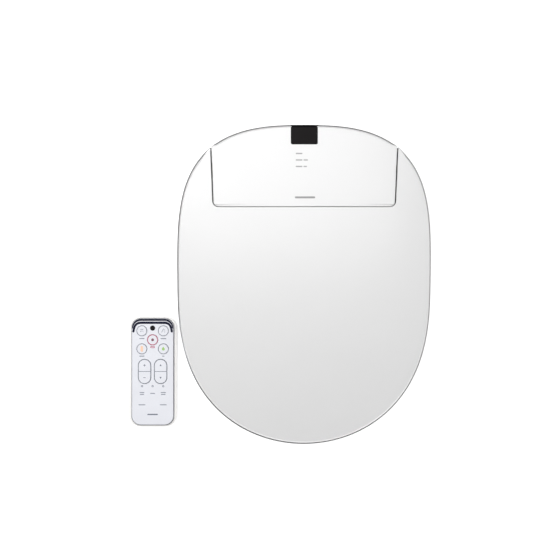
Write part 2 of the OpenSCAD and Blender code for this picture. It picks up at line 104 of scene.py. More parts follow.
# Points per plan loop, and where the large edge radius ends in it.
LID_RIM_N, COVER_RIM_N, SEAM_N = 320, 140, 150
WINDOW_RIM_N, WINDOW_FRONT_N = 40, 70
PILL_N = 18


# ---------------------------------------------------------------- shape formulas

def spow(v, p):
    return math.copysign(abs(v) ** p, v)


def egg(t, half, front, rear, centre, front_exp=FRONT_EXP, rear_exp=REAR_EXP):
    """A point of two half superellipses that meet at the widest station."""
    s, c = math.sin(t), math.cos(t)
    n, m = rear_exp if s > 0 else front_exp
    reach = rear if s > 0 else front
    return (centre[0] + half * spow(c, 2 / n), centre[1] + reach * spow(s, 2 / m))


def outline(t, d=0.0):
    return egg(t, HALF_W - d, WIDE_Y - FRONT_Y - d, REAR_Y - WIDE_Y - d, (0.0, WIDE_Y))


def top_z(x, y):
    """Height of the top surface: rising to the rear, slightly crowned across."""
    t = (y - FRONT_Y) / TOTAL_LEN
    return FRONT_H + RISE * t - SAG * t * t - CROWN * (x / HALF_W) ** 4


# The lid's lower edge from the side, front to rear: (y, z).
UNDER_LID = [(-0.470, 0.0385), (-0.454, 0.0395), (-0.300, 0.062), (-0.118, 0.0885), (-0.106, 0.092),
             (-0.092, 0.104), (-0.080, 0.114), (-0.072, 0.1193), (0.016, 0.1346), (0.070, 0.144)]


def under_lid(y):
    """Height of the lid's lower edge at y."""
    for (y0, z0), (y1, z1) in zip(UNDER_LID, UNDER_LID[1:]):
        if y <= y1:
            return z0 + (z1 - z0) * (y - y0) / (y1 - y0)
    return UNDER_LID[-1][1]


def smooth01(v):
    """Rises smoothly from 0 to 1 as v goes from 0 to 1."""
    v = min(1.0, max(0.0, v))
    return v * v * (3 - 2 * v)


def last_true(test):
    """The largest angle between 0 and a quarter turn at which test still holds."""
    low, high = 0.0, math.pi / 2
    for _ in range(40):
        mid = (low + high) / 2
        if test(mid):
            low = mid
        else:
            high = mid
    return low


def arc(centre, rx, ry, start, end, steps):
    """Points on an ellipse's arc, from start to end in degrees."""
    turn = [math.radians(start + (end - start) * k / steps) for k in range(steps + 1)]
    return [(centre[0] + rx * math.cos(a), centre[1] + ry * math.sin(a)) for a in turn]


# ---------------------------------------------------------------- plan loops

def resample(points, count):
    """count points evenly spaced along the open path, its first point kept and its last left out."""
    steps = [0.0]
    for a, b in zip(points, points[1:]):
        steps.append(steps[-1] + math.dist(a, b))
    out, k = [], 0
    for i in range(count):
        s = steps[-1] * i / count
        while steps[k + 1] < s:
            k += 1
        w = (s - steps[k]) / (steps[k + 1] - steps[k])
        out.append(tuple(a + (b - a) * w for a, b in zip(points[k], points[k + 1])))
    return out


def seam_x(y, grow):
    """Half width of the cover's plan at y, grown by grow."""
    return COVER_HW + grow + COVER_TAPER * (y - SEAM_Y - COVER_CORNER)


def seam_path(front, side, tip):
    """Half of the seam, from the middle of its front edge to the right tip, grown by front and side."""
    centre = (COVER_HW - COVER_CORNER, SEAM_Y + COVER_CORNER)
    corner = arc(centre, COVER_CORNER + side, COVER_CORNER + front, -90, 0, 12)
    return [(0.0, SEAM_Y - front)] + corner + [tip]


def seam_tip(inset, grow):
    """Outline angle where the seam line meets the outline."""
    def outside(t):
        x, y = outline(t, inset)
        return x > seam_x(y, grow)

    return last_true(outside)


def mirrored(path):
    return [(-x, y) for x, y in path]


def outline_run(start, sweep, inset, steps):
    """Points along the outline, from the angle start through sweep."""
    return [outline(start + sweep * k / steps, inset) for k in range(steps + 1)]


def lid_plan(inset, grow):
    """The lid's plan: the outline round the front, then back along the seam."""
    t = seam_tip(inset, SIDE_GAP + grow)
    rim = outline_run(math.pi - t, math.pi + 2 * t, inset, 1500)
    half = seam_path(FRONT_GAP + grow, SIDE_GAP + grow, outline(t, inset))
    seam = half[::-1] + mirrored(half)[1:]
    return resample(rim, LID_RIM_N) + resample(seam, SEAM_N)


def cover_plan(inset, grow):
    """The cover's plan: the outline round the rear, then along the seam."""
    t = seam_tip(inset, grow)
    rim = outline_run(t, math.pi - 2 * t, inset, 900)
    half = seam_path(grow, grow, outline(t, inset))
    seam = mirrored(half)[::-1] + half[1:]
    return resample(rim, COVER_RIM_N) + resample(seam, SEAM_N)


# ---------------------------------------------------------------- mesh helpers

def new_object(name, bm, smooth_angle=None):
    """Turns a bmesh into a smooth-shaded object, with sharp edges above an angle in degrees."""
    bmesh.ops.recalc_face_normals(bm, faces=bm.faces)
    for f in bm.faces:
        f.smooth = True
    if smooth_angle is not None:
        for e in bm.edges:
            if len(e.link_faces) == 2 and e.calc_face_angle(0.0) > math.radians(smooth_angle):
                e.smooth = False
    mesh = bpy.data.meshes.new(name)
    bm.to_mesh(mesh)
    bm.free()
    obj = bpy.data.objects.new(name, mesh)
    bpy.context.scene.collection.objects.link(obj)
    return obj


def inside(x, y, loop):
    """Whether the point lies inside the loop."""
    hit = False
    for (x1, y1), (x2, y2) in zip(loop, loop[1:] + loop[:1]):
        if (y1 > y) != (y2 > y) and x < (x2 - x1) * (y - y1) / (y2 - y1) + x1:
            hit = not hit
    return hit


def fill(loop, spacing):
    """Triangles over the inside of a loop: (extra points, triangles), the loop's points first."""
    xs, ys = [p[0] for p in loop], [p[1] for p in loop]
    extra = []
    clear = (0.6 * spacing) ** 2
    row, y = 0, min(ys) + spacing * 0.5
    while y < max(ys):
        x = min(xs) + spacing * (0.5 if row % 2 else 1.0)
        while x < max(xs):
            if inside(x, y, loop) and min((x - a) ** 2 + (y - b) ** 2 for a, b in loop) > clear:
                extra.append((x, y))
            x += spacing
        y += spacing * 0.866
        row += 1
    points = [Vector(p) for p in loop + extra]
    edges = [(k, (k + 1) % len(loop)) for k in range(len(loop))]
    _, _, faces, origin, _, _ = delaunay_2d_cdt(points, edges, [], 1, 1e-7)
    return extra, [[origin[v][0] for v in f] for f in faces]


def bridge(bm, a, b):
    """Quads between two closed rings of vertices."""
    n = len(a)
    for k in range(n):
        bm.faces.new((a[k], a[(k + 1) % n], b[(k + 1) % n], b[k]))


def skin(bm, rows):
    """One closed skin over equal rows of vertices, each row an end or a section."""
    for a, b in zip(rows, rows[1:]):
        bridge(bm, a, b)
    for row in (rows[0], rows[-1]):
        bm.faces.new(row)


def cap(bm, ring, height, spacing):
    """Covers a ring with triangles that follow height(x, y)."""
    loop = [(v.co.x, v.co.y) for v in ring]
    extra, faces = fill(loop, spacing)
    verts = list(ring) + [bm.verts.new((x, y, height(x, y))) for x, y in extra]
    for f in faces:
        bm.faces.new([verts[k] for k in f])


def between(p, q, w):
    """The point at the fraction w of the way from p to q."""
    return p[0] + (q[0] - p[0]) * w, p[1] + (q[1] - p[1]) * w


def shell(name, plan, rim_r, seam_r, n_rim, floor, thickness, lift=0.0, spacing=9 * MM, blend_n=5,
          under=True):
    """A moulded shell over a plan loop: rounded upper edge, skirt down to floor(x, y), hollow below.

    plan(inset, grow) gives the loop. Its first n_rim points take the large edge radius, the rest the small,
    and the radius grows over blend_n points. With under=False it is closed flat below instead.
    """
    wall_steps = 4
    outer, inner = plan(0.0, 0.0), plan(rim_r, seam_r)
    count = len(outer)
    radius = []
    for k in range(count):
        if k >= n_rim:
            radius.append((seam_r, seam_r))
        else:
            w = smooth01(min(k, n_rim - k) / blend_n)
            radius.append((seam_r + (rim_r - seam_r) * w, rim_r))
    bm = bmesh.new()
    base = [floor(x, y) for x, y in outer]
    lip = 0.5 * MM
    under_loop = plan(thickness, thickness)
    rings = [[between(p, q, 0.25) + (z,) for p, q, z in zip(outer, under_loop, base)],
             [(x, y, z + lip) for (x, y), z in zip(outer, base)]]
    for s in range(1, wall_steps + 1):
        ring = []
        for (x, y), z, r in zip(outer, base, radius):
            wall = top_z(x, y) - r[0] * RIM_DROP + lift - z - lip
            ring.append((x, y, z + lip + wall * s / wall_steps))
        rings.append(ring)
    for step, drop in RIM_PROFILE:
        ring = []
        for p, q, r in zip(outer, inner, radius):
            x, y = between(p, q, r[0] / r[1] * step)
            ring.append((x, y, top_z(x, y) - r[0] * drop + lift))
        rings.append(ring)
    made = [[bm.verts.new(p) for p in ring] for ring in rings]
    for a, b in zip(made, made[1:]):
        bridge(bm, a, b)
    cap(bm, made[-1], lambda x, y: top_z(x, y) + lift, spacing)
    if under:
        soft = plan(thickness + 2 * MM, thickness + 0.6 * MM)
        levels = [(under_loop, lambda x, y, z: z),
                  (under_loop, lambda x, y, z: z + lip),
                  (under_loop, lambda x, y, z: max(z + 2 * lip, top_z(x, y) - thickness - 3 * MM)),
                  (soft, lambda x, y, z: max(z + 3 * lip, top_z(x, y) - thickness))]
        rings = [[bm.verts.new((x, y, level(x, y, z))) for (x, y), z in zip(loop, base)]
                 for loop, level in levels]
        for p, v in zip(outer, rings[0]):
            v.co.x, v.co.y = between(v.co, p, 0.15)
        bridge(bm, rings[0], made[0])
        for a, b in zip(rings, rings[1:]):
            bridge(bm, b, a)
        cap(bm, rings[-1], lambda x, y: top_z(x, y) - thickness, spacing * 1.6)
    else:
        cap(bm, made[0], floor, spacing)
    return new_object(name, bm, smooth_angle=42)


# ---------------------------------------------------------------- materials

def material(name):
    """A new node material: (material, nodes, links, shader)."""
    mat = bpy.data.materials.new(name)
    mat.use_nodes = True
    nodes, links = mat.node_tree.nodes, mat.node_tree.links
    return mat, nodes, links, nodes["Principled BSDF"]


def noise(nodes, links, scale, detail=2.0, coords=None):
    tex = nodes.new("ShaderNodeTexNoise")
    tex.inputs["Scale"].default_value = scale
    tex.inputs["Detail"].default_value = detail
    if coords is None:
        coords = nodes.new("ShaderNodeTexCoord").outputs["Object"]
    links.new(coords, tex.inputs["Vector"])
    return tex.outputs["Fac"]


def ramp(nodes, links, fac, low, high, start=0.3, end=0.7):
    """Colour from low to high as fac goes from start to end."""
    node = nodes.new("ShaderNodeValToRGB")
    node.color_ramp.elements[0].position, node.color_ramp.elements[0].color = start, low
    node.color_ramp.elements[1].position, node.color_ramp.elements[1].color = end, high
    links.new(fac, node.inputs["Fac"])
    return node.outputs["Color"]


def bump(nodes, links, height, strength, distance):
    node = nodes.new("ShaderNodeBump")
    node.inputs["Strength"].default_value = strength
    node.inputs["Distance"].default_value = distance
    links.new(height, node.inputs["Height"])
    return node.outputs["Normal"]


def span(nodes, links, fac, low, high):
    """A number from low to high as fac goes from 0 to 1."""
    node = nodes.new("ShaderNodeMapRange")
    node.inputs["To Min"].default_value = low
    node.inputs["To Max"].default_value = high
    links.new(fac, node.inputs["Value"])
    return node.outputs["Result"]


def grey(v, tint=(1.0, 1.0, 1.0)):
    return (v * tint[0], v * tint[1], v * tint[2], 1.0)


def scaled(colour, factor, lift=0.0):
    """A colour made darker or lighter, capped at 1."""
    return tuple(min(1.0, c * factor + lift) for c in colour[:3]) + (1.0,)


def plastic(name, colour, rough, coat=0.0, grain=900.0, grain_depth=0.00002, grain_strength=0.15, shade=0.03,
            shine=0.5):
    """Moulded plastic: faint colour drift, uneven gloss and a fine skin grain."""
    mat, nodes, links, shader = material(name)
    drift = noise(nodes, links, 14.0, 3.0)
    links.new(ramp(nodes, links, drift, scaled(colour, 1 - shade), colour), shader.inputs["Base Color"])
    wear = noise(nodes, links, 55.0, 4.0)
    links.new(span(nodes, links, wear, rough * 0.85, rough * 1.2), shader.inputs["Roughness"])
    links.new(bump(nodes, links, noise(nodes, links, grain, 2.0), grain_strength, grain_depth),
              shader.inputs["Normal"])
    shader.inputs["Coat Weight"].default_value = coat
    shader.inputs["Coat Roughness"].default_value = 0.2
    shader.inputs["IOR"].default_value = 1.49
    shader.inputs["Specular IOR Level"].default_value = shine
    return mat


def metal(name, colour, rough, streak=(900.0, 30.0, 30.0)):
    """Brushed or turned metal: fine streaks along one direction."""
    mat, nodes, links, shader = material(name)
    place = nodes.new("ShaderNodeMapping")
    place.inputs["Scale"].default_value = streak
    links.new(nodes.new("ShaderNodeTexCoord").outputs["Object"], place.inputs["Vector"])
    lines = noise(nodes, links, 1.0, 4.0, place.outputs["Vector"])
    links.new(ramp(nodes, links, lines, scaled(colour, 0.82), colour), shader.inputs["Base Color"])
    links.new(span(nodes, links, lines, rough * 0.7, rough * 1.35), shader.inputs["Roughness"])
    links.new(bump(nodes, links, lines, 0.2, 0.00003), shader.inputs["Normal"])
    shader.inputs["Metallic"].default_value = 1.0
    return mat


def rubber(name, colour):
    """Rubber: matt, dusty in places, with a fine pebbled skin."""
    mat, nodes, links, shader = material(name)
    dust = noise(nodes, links, 120.0, 5.0)
    light = scaled(colour, 1.35, 0.01)
    links.new(ramp(nodes, links, dust, colour, light, 0.45, 0.8), shader.inputs["Base Color"])
    links.new(span(nodes, links, dust, 0.62, 0.85), shader.inputs["Roughness"])
    links.new(bump(nodes, links, noise(nodes, links, 1600.0, 2.0), 0.4, 0.00005), shader.inputs["Normal"])
    return mat


def circuit(name, colour):
    """Lacquered circuit board with lighter copper runs under the mask."""
    mat, nodes, links, shader = material(name)
    brick = nodes.new("ShaderNodeTexBrick")
    brick.inputs["Scale"].default_value = 90.0
    brick.inputs["Mortar Size"].default_value = 0.03
    brick.inputs["Color1"].default_value = colour
    brick.inputs["Color2"].default_value = scaled(colour, 0.8)
    brick.inputs["Mortar"].default_value = scaled(colour, 1.9)
    links.new(nodes.new("ShaderNodeTexCoord").outputs["Object"], brick.inputs["Vector"])
    links.new(brick.outputs["Color"], shader.inputs["Base Color"])
    links.new(bump(nodes, links, brick.outputs["Fac"], 0.3, 0.0001), shader.inputs["Normal"])
    shader.inputs["Roughness"].default_value = 0.35
    return mat


MAT = {
    "gloss_white": plastic("gloss_white", grey(0.69), 0.3, coat=0.25, grain=420.0,
                           grain_depth=0.00001, grain_strength=0.05, shade=0.012),
    "warm_white": plastic("warm_white", grey(0.8, (1.0, 0.985, 0.96)), 0.33, coat=0.15, shade=0.02),
    "black_gloss": plastic("black_gloss", grey(0.009, (1.0, 0.86, 0.9)), 0.3, grain=300.0,
                           grain_depth=0.000005, grain_strength=0.05, shade=0.2, shine=0.03),
    "indicator_grey": plastic("indicator_grey", grey(0.3), 0.3, shade=0.05),
    "remote_blue_white": plastic("remote_blue_white", (0.68, 0.69, 0.74, 1.0), 0.36, shade=0.015),
    "navy": plastic("navy", (0.004, 0.006, 0.026, 1.0), 0.35, shade=0.2, shine=0.04),
    "grey_plastic": plastic("grey_plastic", grey(0.3), 0.5, grain_strength=0.4, shade=0.08),
    "dark_plastic": plastic("dark_plastic", grey(0.035), 0.45, grain_strength=0.4, shade=0.15),
    "rubber_grey": rubber("rubber_grey", grey(0.42)),
    "rubber_dark": rubber("rubber_dark", grey(0.025)),
    "steel": metal("steel", grey(0.6), 0.3),
    "brass": metal("brass", (0.62, 0.42, 0.15, 1.0), 0.28, streak=(1400.0, 60.0, 60.0)),
    "board_green": circuit("board_green", (0.012, 0.11, 0.04, 1.0)),
    "heater_foil": metal("heater_foil", (0.6, 0.42, 0.25, 1.0), 0.35),
    "print_grey": plastic("print_grey", (0.11, 0.13, 0.18, 1.0), 0.4, shade=0.1),
    "print_pale": plastic("print_pale", (0.2, 0.22, 0.27, 1.0), 0.4, shade=0.08),
    "print_navy": plastic("print_navy", (0.03, 0.045, 0.1, 1.0), 0.35, shade=0.1),
    "print_magenta": plastic("print_magenta", (0.42, 0.012, 0.09, 1.0), 0.35, shade=0.08),
    "print_plum": plastic("print_plum", (0.14, 0.004, 0.04, 1.0), 0.35, shade=0.1),
    "print_peach": plastic("print_peach", (0.86, 0.55, 0.38, 1.0), 0.4, shade=0.06),
    "print_green": plastic("print_green", (0.3, 0.55, 0.12, 1.0), 0.4, shade=0.08),
    "battery": metal("battery", (0.12, 0.16, 0.2, 1.0), 0.35),
}


def dress(obj, slot, body=None, replaces=()):
    """Gives a piece the material named by slot, its body and the nodes it stands for."""
    obj.data.materials.clear()
    obj.data.materials.append(MAT[slot])
    if body is not None:
        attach(obj, body)
    if replaces:
        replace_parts(obj, *replaces)
    return obj


# ---------------------------------------------------------------- lid

def build_lid():
    """The lid's shell, its lower edge cut back over the hinge brackets so that it clears them when open."""
    def lid_floor(x, y):
        over_bracket = y > NOTCH_Y and BRACKET_NOTCH[0] < abs(x) < BRACKET_NOTCH[1]
        return max(under_lid(y), top_z(x, y) - NOTCH_SKIN) if over_bracket else under_lid(y)

    obj = shell("lid", lid_plan, RIM_R, SEAM_R, LID_RIM_N, lid_floor, LID_T)
    dress(obj, "gloss_white", "lid", ["lid_shell"])


# Painted shade in the side seams: the dark strips under the lid's edges are placed and sized by these numbers.
SHADE_STRIP_CLEAR = 0.3 * MM
SHADE_STRIP_OVERLAP = 0.8 * MM
SHADE_STRIP_DEPTH = 2.6 * MM
SHADE_STRIP_SHORT = 1.2 * MM
SHADE_STRIP_START = 4
SHADE_STRIP_STEPS = 30
SHADE_STRIP_SECTION = ((0, -0.3), (1, 0.0), (1, -2.0), (0, -1.5))


def build_seam_shade_strips():
    """Painted shade: dark strips on the lid's inner edges that close both side seams from below,
    so that the gaps read dark as shade from above.

    They run from the cover's front corners, at point SHADE_STRIP_START of the seam, to just short of the lid's
    tips.
    In SHADE_STRIP_SECTION each corner is (0 near the cover or 1 under the lid, millimetres above the strip's
    level).
    """
    front = SEAM_Y + COVER_CORNER
    rear = outline(seam_tip(0.0, SIDE_GAP))[1] - SHADE_STRIP_SHORT
    reach = SIDE_GAP + SHADE_STRIP_OVERLAP
    near = seam_path(0.1 * MM, SHADE_STRIP_CLEAR, None)[SHADE_STRIP_START:-1]
    far = seam_path(FRONT_GAP + SHADE_STRIP_OVERLAP, reach, None)[SHADE_STRIP_START:-1]
    for k in range(1, SHADE_STRIP_STEPS + 1):
        y = front + (rear - front) * k / SHADE_STRIP_STEPS
        near.append((seam_x(y, SHADE_STRIP_CLEAR), y))
        far.append((seam_x(y, reach), y))
    for side, name in ((-1, "lid_seam_shade_left"), (1, "lid_seam_shade_right")):
        bm = bmesh.new()
        rows = []
        for ends in zip(near, far):
            z = top_z(*ends[1]) - SHADE_STRIP_DEPTH
            rows.append([bm.verts.new((side * ends[end][0], ends[end][1], z + rise * MM))
                         for end, rise in SHADE_STRIP_SECTION])
        skin(bm, rows)
        # The dark rubber here is painted shade: it makes the side seams read dark.
        dress(new_object(name, bm, smooth_angle=30), "rubber_dark", "lid")


# ---------------------------------------------------------------- cover

def cover_floor(x, y):
    """The cover's walls run down to the parting line, its front edge only to the trough."""
    if y < SEAM_Y + 0.5 * MM:
        return HINGE_Z + 2 * MM
    return SPLIT_Z


def build_cover():
    obj = shell("cover_top", lambda d, g: cover_plan(d, -g), RIM_R, SEAM_R, COVER_RIM_N, cover_floor, COVER_T)
    dress(obj, "gloss_white", "housing", ["top_cover"])


def trough_profile(inset, front_inset=None):
    """The cover's front as (y, z): from its seam edge round the hinge and down its front wall."""
    start = math.degrees(math.atan2(TROUGH_TOP, -HINGE_Y + SEAM_Y + 0.4 * MM))
    pts = arc((HINGE_Y, HINGE_Z), TROUGH_R + inset, TROUGH_R + inset, start, TROUGH_END, 28)
    front = TROUGH_FRONT_Y + (inset if front_inset is None else front_inset)
    return [p for p in pts if p[0] > front] + [(front, HINGE_Z - TROUGH_DROP - inset), (front, SPLIT_Z)]


def resampled(path, count):
    """The path with count evenly spaced points and its last point."""
    return resample(path, count) + [path[-1]]


def build_trough():
    """Sheet that lines the hinge trough and closes the cover's front."""
    bm = bmesh.new()
    loop = resampled(trough_profile(0.0), 40) + resampled(trough_profile(COVER_T), 40)[::-1]
    end = COVER_HW - CHEEK_RELIEF
    stations = [-end, -127 * MM, -80 * MM, 0.0, 80 * MM, 127 * MM, end]
    skin(bm, [[bm.verts.new((x, y, z)) for y, z in loop] for x in stations])
    dress(new_object("cover_front", bm, smooth_angle=30), "gloss_white", "housing", ["top_cover"])


def build_cheeks():
    """Side walls of the cover under the hinge, from the trough to the parting line, set back for the lid."""
    edge_r = 0.15 * MM
    rear, top = SEAM_Y + COVER_CORNER, HINGE_Z + 14 * MM
    edge = [p for p in trough_profile(CHEEK_RELIEF, 0.0) if p[1] < top - 0.2 * MM]
    edge = resampled(edge, 40) + [(rear, SPLIT_Z), (rear, top)]
    walls = ((COVER_HW - COVER_T, 0.0), (COVER_HW - edge_r, 0.0), (COVER_HW, edge_r))
    for side, name in ((-1, "cover_cheek_left"), (1, "cover_cheek_right")):
        bm = bmesh.new()
        skin(bm, [[bm.verts.new((side * x, y + shift, z)) for y, z in edge] for x, shift in walls])
        dress(new_object(name, bm, smooth_angle=30), "gloss_white", "housing", ["top_cover"])


# ---------------------------------------------------------------- window and indicators

WINDOW_LOW, WINDOW_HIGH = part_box("sensor_window")
WINDOW_CORNER = 2 * MM
WINDOW_EDGE = 0.5 * MM
WINDOW_T = 2.4 * MM
WINDOW_PROUD = 0.12 * MM

LAMP_LOW, LAMP_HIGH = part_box("indicator_lenses")
LAMP_EDGE = 1.3 * MM
LENS_DEPTH, LENS_PROUD = 1.5 * MM, 0.1 * MM
MARK_HALF = 1.1 * MM
LABEL_GAP = 1.4 * MM
LABEL_LENGTHS = (5.6 * MM, 7.2 * MM, 0.0)
# The plain bar in front of the indicators: its middle, half length and half width.
BAR_AT = (1.2 * MM, -62.4 * MM)
BAR_HALF = (16 * MM, 1.6 * MM)


def window_plan(inset, grow):
    """The window's plan: along the rear outline, then round its front edge."""
    half, front = WINDOW_HIGH.x - grow, WINDOW_LOW.y + grow
    corner, proud = WINDOW_CORNER - grow, inset - WINDOW_PROUD
    t = last_true(lambda a: outline(a, proud)[0] > half)
    rim = outline_run(t, math.pi - 2 * t, proud, 400)
    right = [rim[0]] + arc((half - corner, front + corner), corner, corner, 0, -90, 8)
    path = mirrored(right) + right[::-1]
    return resample(rim, WINDOW_RIM_N) + resample(path, WINDOW_FRONT_N)


def build_window():
    obj = shell("sensor_panel", window_plan, RIM_R, WINDOW_EDGE, WINDOW_RIM_N, lambda x, y: WINDOW_LOW.z,
                WINDOW_T, lift=WINDOW_PROUD, spacing=4 * MM, blend_n=1, under=False)
    dress(obj, "black_gloss", "housing", ["sensor_window"])


def pill_plan(cx, cy, half_w, half_l):
    """A loop function for a small rounded bar."""
    def plan(inset, grow):
        r, reach = half_l - inset, half_w - half_l
        return arc((cx + reach, cy), r, r, -90, 90, 8) + arc((cx - reach, cy), r, r, 90, 270, 8)
    return plan


def cover_bar(name, x, y, half_w, half_l, slot, depth=0.5 * MM, lift=0.05 * MM):
    """A small rounded bar let into the cover's top."""
    edge_r, thickness = 0.2 * MM, 0.3 * MM
    obj = shell(name, pill_plan(x, y, half_w, half_l), edge_r, edge_r, PILL_N,
                lambda x, y: top_z(x, y) - depth, thickness, lift=lift, spacing=1.2 * MM, under=False)
    return dress(obj, slot, "housing")


def build_lamps():
    """Three indicator lenses, dashes for the labels that run on from two, and a plain bar in front."""
    x, half_w = (LAMP_LOW.x + LAMP_HIGH.x) / 2, (LAMP_HIGH.x - LAMP_LOW.x) / 2
    pitch = (LAMP_HIGH.y - LAMP_LOW.y - 2 * LAMP_EDGE) / 2
    for k, label in enumerate(LABEL_LENGTHS):
        y = LAMP_LOW.y + LAMP_EDGE + pitch * k
        lens = cover_bar(f"indicator_{k + 1}", x, y, half_w, MARK_HALF, "indicator_grey", LENS_DEPTH,
                         LENS_PROUD)
        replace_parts(lens, "indicator_lenses")
        if label:
            label_x = x + half_w + LABEL_GAP + label / 2
            cover_bar(f"indicator_label_{k + 1}", label_x, y, label / 2, MARK_HALF, "indicator_grey")
    cover_bar("cover_mark", *BAR_AT, *BAR_HALF, "grey_plastic")


build_lid()
build_seam_shade_strips()
build_cover()
build_trough()
build_cheeks()
build_window()
build_lamps()

# ---------------------------------------------------------------- seat ring

# Plan of the ring and of its opening; heights of its upper edge and its underside; the place over the body's
# nose where the underside is raised; and how far above the underside the upper shell starts and the lower ends.
RING_HALF_W = RING_HIGH.x
RING_REAR_Y = RING_HIGH.y
RING_REAR_EXP = (6.0, 5.0)
OPEN_CENTRE = (0.0, -262 * MM)
OPEN_HALF_W = 105 * MM
OPEN_FRONT, OPEN_REAR = 138 * MM, 102 * MM
OPEN_EXP = ((2.0, 2.1), (2.2, 2.4))
RING_FRONT_H, RING_RISE = 35 * MM, 48 * MM
FLOOR_H, FLOOR_RISE = 8 * MM, 49.5 * MM
NOSE_Y, NOSE_RAMP_Y = -190 * MM, 36 * MM
NOSE_HALF_W, NOSE_RAMP_X = 148 * MM, 44 * MM
PARTING_TOP, PARTING_BASE = 10 * MM, 9.7 * MM
SHELL_T = 3 * MM
STATIONS = 288


def ring_outer(t):
    return egg(t, RING_HALF_W, WIDE_Y - RING_LOW.y, RING_REAR_Y - WIDE_Y, (0.0, WIDE_Y),
               rear_exp=RING_REAR_EXP)


def ring_inner(t):
    return egg(t, OPEN_HALF_W, OPEN_FRONT, OPEN_REAR, OPEN_CENTRE, *OPEN_EXP)


def ring_edge_z(y):
    """Height of the ring's upper edge, rising to the rear like the lid."""
    return RING_FRONT_H + RING_RISE * (y - FRONT_Y) / (RING_REAR_Y - FRONT_Y)


def ring_floor(x, y):
    """Underside: low all round, raised over the body's nose at the rear."""
    over_nose = smooth01((y - NOSE_Y) / NOSE_RAMP_Y) * smooth01((NOSE_HALF_W - abs(x)) / NOSE_RAMP_X)
    return FLOOR_H + FLOOR_RISE * over_nose


def spline(points, steps):
    """A Catmull-Rom curve through the points."""
    pts = [points[0]] + list(points) + [points[-1]]
    out = []
    for a, b, c, d in zip(pts, pts[1:], pts[2:], pts[3:]):
        for k in range(steps):
            t = k / steps
            out.append(tuple(0.5 * (2 * q + (r - p) * t + (2 * p - 5 * q + 4 * r - u) * t * t
                                    + (3 * q - p - 3 * r + u) * t ** 3) for p, q, r, u in zip(a, b, c, d)))
    return out + [points[-1]]


def ring_walls(t):
    """The section at outline angle t: its outer point, its inner point and the width between them."""
    o, n = Vector(ring_outer(t)), Vector(ring_inner(t))
    return o, n, (n - o).length


def ring_section(t, rows):
    """Points at outline angle t: each row is (distance in from the outer wall, height above z = 0)."""
    o, n, _ = ring_walls(t)
    way = (n - o).normalized()
    return [tuple(o + way * d) + (z,) for d, z in rows]


def top_rows(t, inset):
    """The seat's upper surface over one section, inset by a wall thickness.

    Each drop is (distance in, millimetres below the crest of the outer edge).
    """
    o, n, w = ring_walls(t)
    drops = [(inset, 4.5), (inset + 1.4 * MM, 1.4), (inset + 4.5 * MM, 0.0), (18 * MM, -2.2),
             (w - 18 * MM, -1.4), (w - 9 * MM, 0.2), (w - inset - 4 * MM, 3.0), (w - inset - 1.2 * MM, 6.0),
             (w - inset, 10.0)]
    rows = []
    for d, drop in drops:
        y = (o + (n - o) * (d / w)).y
        rows.append((d, ring_edge_z(y) - drop * MM + 2 * MM - inset))
    return spline(rows, 4)


def seat_top_section(t):
    """The upper shell: both walls from the parting line up, the seating surface, and the hollow below it."""
    o, n, w = ring_walls(t)
    low_o, low_n = ring_floor(*o) + PARTING_TOP, ring_floor(*n) + PARTING_TOP
    outer = top_rows(t, 0.0)
    inner = [(d, min(z, zo - 1.5 * MM)) for (d, z), (_, zo) in zip(top_rows(t, SHELL_T), outer)]
    soft = 0.6 * MM
    mid_o = [(0.0, low_o + (outer[0][1] - low_o) * k / 5) for k in range(1, 5)]
    mid_n = [(w, low_n + (outer[-1][1] - low_n) * k / 5) for k in range(4, 0, -1)]
    rows = [(soft, low_o), (0.0, low_o + soft)] + mid_o + outer + mid_n
    rows += [(w, low_n + soft), (w - soft, low_n), (w - SHELL_T, low_n)] + inner[::-1] + [(SHELL_T, low_o)]
    return ring_section(t, rows)


def seat_base_section(t):
    """The lower shell: a shallow channel with rounded lower edges."""
    o, n, w = ring_walls(t)
    high_o, high_n = ring_floor(*o) + PARTING_BASE, ring_floor(*n) + PARTING_BASE
    round_r = 2.4 * MM

    def floor_z(d, up=0.0):
        p = o + (n - o) * (d / w)
        return ring_floor(p.x, p.y) + up

    count = 22
    across = [round_r + (w - 2 * round_r) * k / count for k in range(count + 1)]
    turn = [math.radians(90 * k / 4) for k in range(4)]
    left = [(round_r * (1 - math.cos(a)), floor_z(0.0, round_r * (1 - math.sin(a)))) for a in turn]
    right = [(w - d, floor_z(w, z - floor_z(0.0))) for d, z in left][::-1]
    rows = [(0.0, high_o)] + left + [(d, floor_z(d)) for d in across] + right + [(w, high_n)]
    rows += [(w - SHELL_T, high_n)]
    rows += [(d, floor_z(d, SHELL_T)) for d in across[-3:1:-1]] + [(SHELL_T, high_o)]
    return ring_section(t, rows)


def ring_piece(name, section, angle):
    """Joins the sections round the ring into one closed skin."""
    bm = bmesh.new()
    loops = [[bm.verts.new(p) for p in section(math.tau * (k + 0.5) / STATIONS)] for k in range(STATIONS)]
    for a, b in zip(loops, loops[1:] + loops[:1]):
        bridge(bm, a, b)
    return new_object(name, bm, smooth_angle=angle)


def build_seat():
    dress(ring_piece("seat_ring", seat_top_section, 50), "gloss_white", "seat", ["seat_top"])
    dress(ring_piece("seat_underside", seat_base_section, 50), "warm_white", "seat", ["seat_base"])


# ---------------------------------------------------------------- remote: printed marks

FACE_LOW, FACE_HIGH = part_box("remote_face")
FACE_TOP = FACE_HIGH.z
FACE_MID = ((FACE_LOW.x + FACE_HIGH.x) / 2, (FACE_LOW.y + FACE_HIGH.y) / 2)
FACE_W, FACE_L = FACE_HIGH.x - FACE_LOW.x, FACE_HIGH.y - FACE_LOW.y
INK = 0.12 * MM

# Radii of the round keys' tops, and how far the rockers' signs are from their middle.
KEY_R = 8 * MM
KEY_STOP_R = 8.7 * MM
SIGN_Y = 10 * MM

